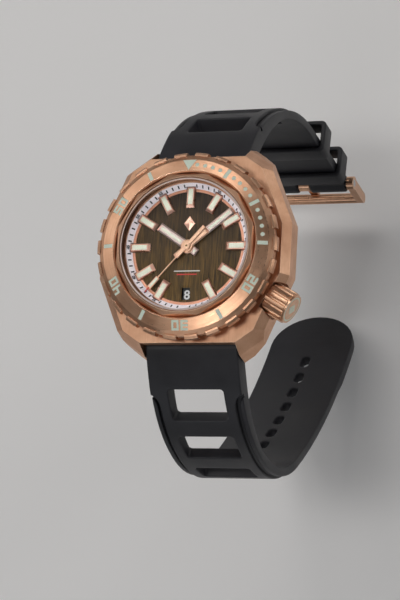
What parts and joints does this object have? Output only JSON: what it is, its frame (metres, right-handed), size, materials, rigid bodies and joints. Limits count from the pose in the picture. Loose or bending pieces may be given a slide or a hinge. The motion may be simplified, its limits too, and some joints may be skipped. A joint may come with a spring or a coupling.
{
  "type": "dive watch",
  "caption": "Automatic dive watch: bronze case with a toothed rotating bezel, screw crown, date dial, geared movement and ventilated rubber strap with a tang buckle.",
  "frame": {"origin": "centre of the case back's flat outer face, where it rests on the wrist", "axes": "+Z out of the dial, +Y towards 12 o'clock, +X towards 3 o'clock"},
  "size_m": [0.0466, 0.0902, 0.1044],
  "materials": {
    "bronze_case": "brushed bronze",
    "bronze_bezel": "brushed bronze",
    "bronze_crown": "brushed bronze",
    "bronze_buckle": "brushed bronze",
    "rose_gold": "polished rose gold plating",
    "lume": "pale mint luminous paint",
    "glass": "clear domed mineral glass",
    "nylon_gasket": "pale gasket",
    "rubber_gasket": "black gasket",
    "strap_rubber": "matte black rubber",
    "steel": "brushed steel",
    "plated_steel": "nickel plated",
    "blued_steel": "blued",
    "train_brass": "gilt brass",
    "ruby": "synthetic ruby",
    "dial_brown": "brown dial with a vertical grain",
    "chapter_white": "pale minute ring",
    "date_black": "matte black",
    "movement_plastic": "dark movement ring"
  },
  "bodies": {
    "watch_case": {"case_middle": "bronze_case", "case_back": "steel", "case_back_gasket": "rubber_gasket", "crystal": "glass", "crystal_gasket": "nylon_gasket", "bezel_gasket": "rubber_gasket", "bezel_click_spring": "steel", "crown_tube": "steel", "movement_ring": "movement_plastic", "casing_clamps": "steel", "chapter_ring": "chapter_white", "dial_step_ring": "rose_gold", "dial": "dial_brown", "hour_markers": "rose_gold", "marker_lume": "lume", "main_plate": "plated_steel", "train_bridge": "plated_steel", "balance_cock": "plated_steel", "pallet_bridge": "plated_steel", "calendar_plate": "plated_steel", "jewels": "ruby", "bridge_screws": "blued_steel", "spring_bars": "steel", "rotor_bearing": "steel"},
    "bezel": {"bezel": "bronze_bezel", "bezel_lume": "lume"},
    "clutch": {"clutch_wheel": "steel", "winding_pinion": "steel"},
    "crown": {"winding_stem": "steel", "crown": "bronze_crown", "crown_lume": "lume", "crown_gasket": "rubber_gasket", "crown_spring": "steel"},
    "crown_wheel": {"crown_wheel": "steel"},
    "ratchet": {"ratchet_wheel": "steel"},
    "hours": {"hour_wheel": "train_brass", "hour_hand": "rose_gold"},
    "minutes": {"centre_wheel": "train_brass", "minute_hand": "rose_gold"},
    "seconds": {"fourth_wheel": "train_brass", "second_hand": "rose_gold"},
    "third_wheel": {"third_wheel": "train_brass"},
    "escape_wheel": {"escape_wheel": "steel"},
    "minute_wheel": {"minute_wheel": "train_brass"},
    "barrel": {"barrel": "train_brass", "mainspring": "steel"},
    "pallet_fork": {"pallet_fork": "steel"},
    "balance": {"balance_wheel": "train_brass", "hairspring": "blued_steel"},
    "date_disc": {"date_disc": "date_black"},
    "rotor": {"rotor_plate": "plated_steel", "rotor_weight": "steel"},
    "strap_upper": {"strap_upper": "strap_rubber", "fixed_keeper": "strap_rubber"},
    "sliding_keeper": {"sliding_keeper": "strap_rubber"},
    "buckle": {"buckle_frame": "bronze_buckle", "buckle_bar": "steel"},
    "buckle_tongue": {"buckle_tongue": "bronze_buckle"},
    "strap_lower": {"strap_lower": "strap_rubber"}
  },
  "joints": [
    {"name": "bezel_turn", "type": "hinge", "parent": "watch_case", "child": "bezel", "pos_m": [0, 0, 0.0105], "axis": [0, 0, 1], "continuous": true},
    {"name": "crown_spin", "type": "hinge", "parent": "watch_case", "child": "clutch", "pos_m": [0, 0, 0.005], "axis": [0.866, -0.5, 0], "continuous": true},
    {"name": "crown_pull", "type": "slide", "parent": "clutch", "child": "crown", "axis": [0.866, -0.5, 0], "range_m": [0, 0.0026]},
    {"name": "crown_wheel_spin", "type": "hinge", "parent": "watch_case", "child": "crown_wheel", "pos_m": [0.00649, -0.00375, 0.0036], "axis": [0, 0, 1], "continuous": true},
    {"name": "ratchet_spin", "type": "hinge", "parent": "watch_case", "child": "ratchet", "pos_m": [0.00546, 0.00315, 0.0036], "axis": [0, 0, 1], "continuous": true},
    {"name": "seconds_spin", "type": "hinge", "parent": "watch_case", "child": "seconds", "pos_m": [0, 0, 0.0109], "axis": [0, 0, -1], "continuous": true},
    {"name": "minutes_spin", "type": "hinge", "parent": "watch_case", "child": "minutes", "pos_m": [0, 0, 0.0106], "axis": [0, 0, -1], "continuous": true},
    {"name": "hours_spin", "type": "hinge", "parent": "watch_case", "child": "hours", "pos_m": [0, 0, 0.0101], "axis": [0, 0, -1], "continuous": true},
    {"name": "third_wheel_spin", "type": "hinge", "parent": "watch_case", "child": "third_wheel", "pos_m": [-0.00504, 0, 0.005], "axis": [0, 0, -1], "continuous": true},
    {"name": "escape_wheel_spin", "type": "hinge", "parent": "watch_case", "child": "escape_wheel", "pos_m": [0.00044, -0.00499, 0.005], "axis": [0, 0, -1], "continuous": true},
    {"name": "minute_wheel_spin", "type": "hinge", "parent": "watch_case", "child": "minute_wheel", "pos_m": [-0.00063, 0.00354, 0.0084], "axis": [0, 0, -1], "continuous": true},
    {"name": "barrel_spin", "type": "hinge", "parent": "watch_case", "child": "barrel", "pos_m": [0.00546, 0.00315, 0.0055], "axis": [0, 0, -1], "continuous": true},
    {"name": "pallet_swing", "type": "hinge", "parent": "watch_case", "child": "pallet_fork", "pos_m": [0.0023, -0.00701, 0.0055], "axis": [0, 0, 1], "range_deg": [-5, 5]},
    {"name": "balance_swing", "type": "hinge", "parent": "watch_case", "child": "balance", "pos_m": [0.00078, -0.00887, 0.0048], "axis": [0, 0, 1], "range_deg": [-270, 270], "stiffness_Nm_per_rad": 0.0000002},
    {"name": "date_turn", "type": "hinge", "parent": "watch_case", "child": "date_disc", "pos_m": [0, 0, 0.0088], "axis": [0, 0, 1], "continuous": true},
    {"name": "rotor_swing", "type": "hinge", "parent": "watch_case", "child": "rotor", "pos_m": [0, 0, 0.0028], "axis": [0, 0, 1], "continuous": true},
    {"name": "strap_upper_hinge", "type": "hinge", "parent": "watch_case", "child": "strap_upper", "pos_m": [0, 0.021, 0.0024], "axis": [1, 0, 0], "range_deg": [-6, 40]},
    {"name": "sliding_keeper_slide", "type": "slide", "parent": "strap_upper", "child": "sliding_keeper", "axis": [0, -0.1736, -0.9848], "range_m": [-0.003, 0.008]},
    {"name": "buckle_hinge", "type": "hinge", "parent": "strap_upper", "child": "buckle", "pos_m": [0, 0.03483, -0.07033], "axis": [1, 0, 0], "range_deg": [-40, 45]},
    {"name": "tongue_hinge", "type": "hinge", "parent": "buckle", "child": "buckle_tongue", "pos_m": [0, 0.03483, -0.07033], "axis": [1, 0, 0], "range_deg": [0, 70]},
    {"name": "strap_lower_hinge", "type": "hinge", "parent": "watch_case", "child": "strap_lower", "pos_m": [0, -0.021, 0.0024], "axis": [-1, 0, 0], "range_deg": [-5, 22]}
  ],
  "couplings": [
    {"joint": "minutes_spin", "follows": "seconds_spin", "ratio": 0.016667},
    {"joint": "hours_spin", "follows": "seconds_spin", "ratio": 0.0013889},
    {"joint": "third_wheel_spin", "follows": "seconds_spin", "ratio": -0.13333},
    {"joint": "escape_wheel_spin", "follows": "seconds_spin", "ratio": -12},
    {"joint": "minute_wheel_spin", "follows": "seconds_spin", "ratio": -0.0055556},
    {"joint": "barrel_spin", "follows": "seconds_spin", "ratio": -0.0027778},
    {"joint": "crown_wheel_spin", "follows": "crown_spin", "ratio": 0.5},
    {"joint": "ratchet_spin", "follows": "crown_spin", "ratio": -0.53333}
  ]
}
